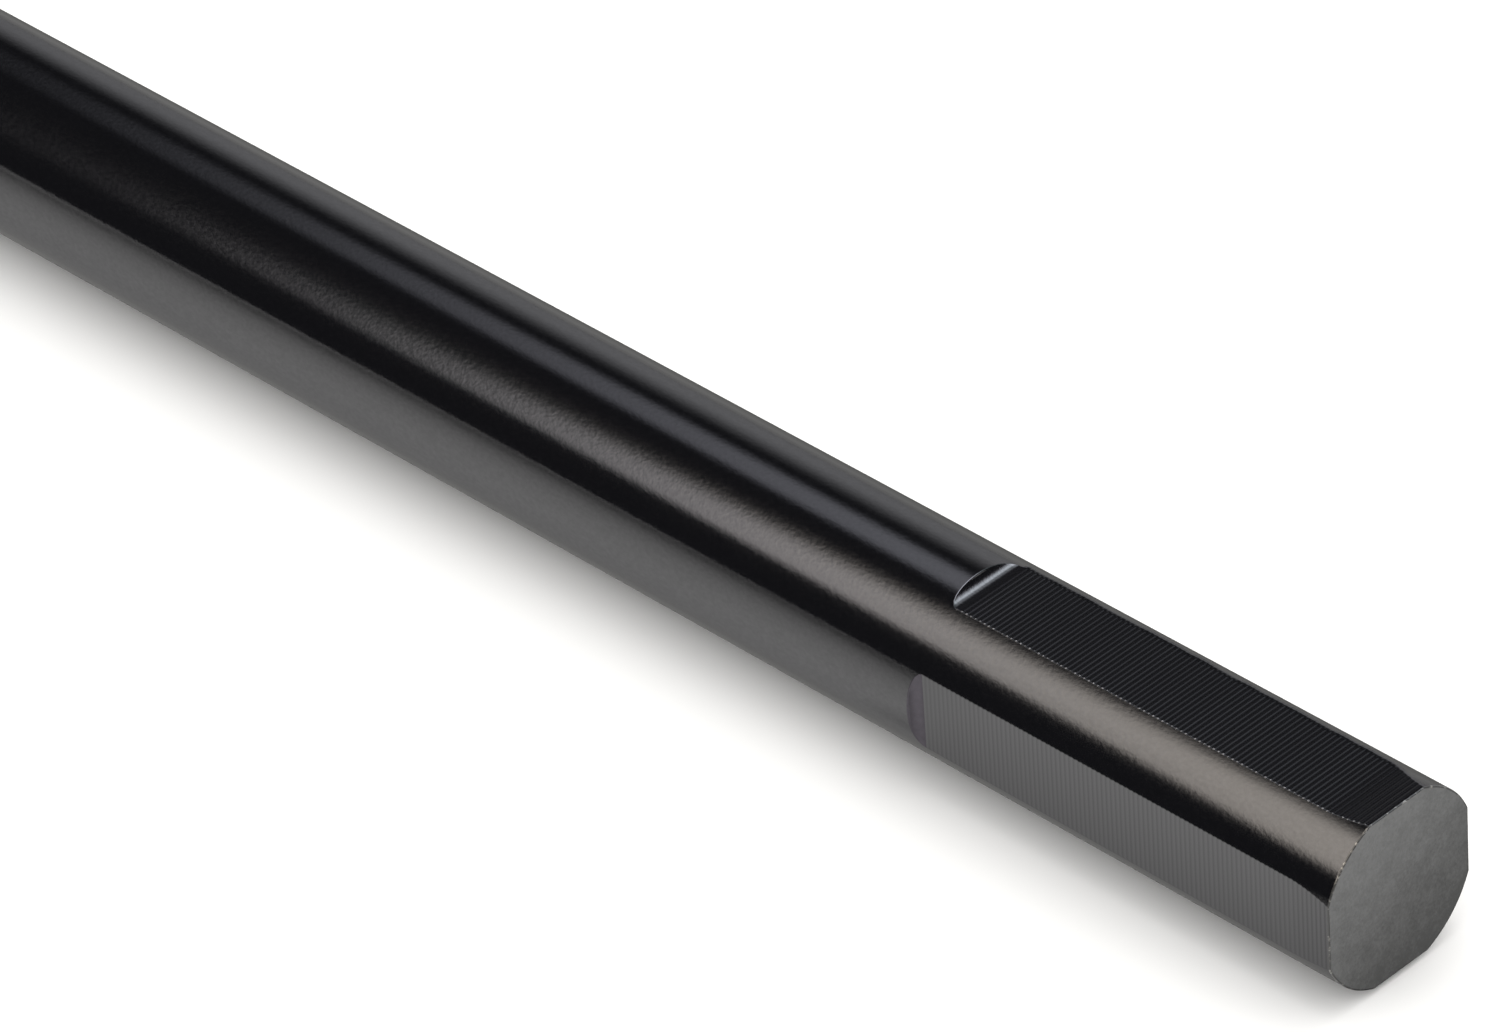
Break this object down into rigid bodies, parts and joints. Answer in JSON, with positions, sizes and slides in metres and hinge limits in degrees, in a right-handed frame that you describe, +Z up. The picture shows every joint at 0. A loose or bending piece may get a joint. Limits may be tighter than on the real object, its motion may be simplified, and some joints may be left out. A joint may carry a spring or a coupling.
{
  "type": "drill bit extension bar",
  "caption": "Straight round steel bar with milled flats at its drive end and a pinned socket nose at the other, where grub screws clamp a bit's shank.",
  "frame": {"origin": "on the plane the bar lies on, under its axis, halfway along its length", "axes": "+X along the bar from the socket's mouth to the flatted drive end, +Z up, the way the grub screws face, +Y across the bar"},
  "size_m": [0.3048, 0.0126, 0.0127],
  "materials": {
    "black_steel": "glossy blackened",
    "pin_steel": "satin",
    "screw_steel": "black oxide"
  },
  "bodies": {
    "bar": {"shank_bar": "black_steel", "socket_nose": "black_steel", "spring_pin": "pin_steel"},
    "front_grub_screw": {"grub_screw_1": "screw_steel"},
    "rear_grub_screw": {"grub_screw_2": "screw_steel"}
  },
  "joints": [
    {"name": "front_grub_travel", "type": "slide", "parent": "bar", "child": "front_grub_screw", "axis": [0, 0, -1], "range_m": [-0.002, 0.0012]},
    {"name": "rear_grub_travel", "type": "slide", "parent": "bar", "child": "rear_grub_screw", "axis": [0, 0, -1], "range_m": [-0.002, 0.0012]}
  ]
}
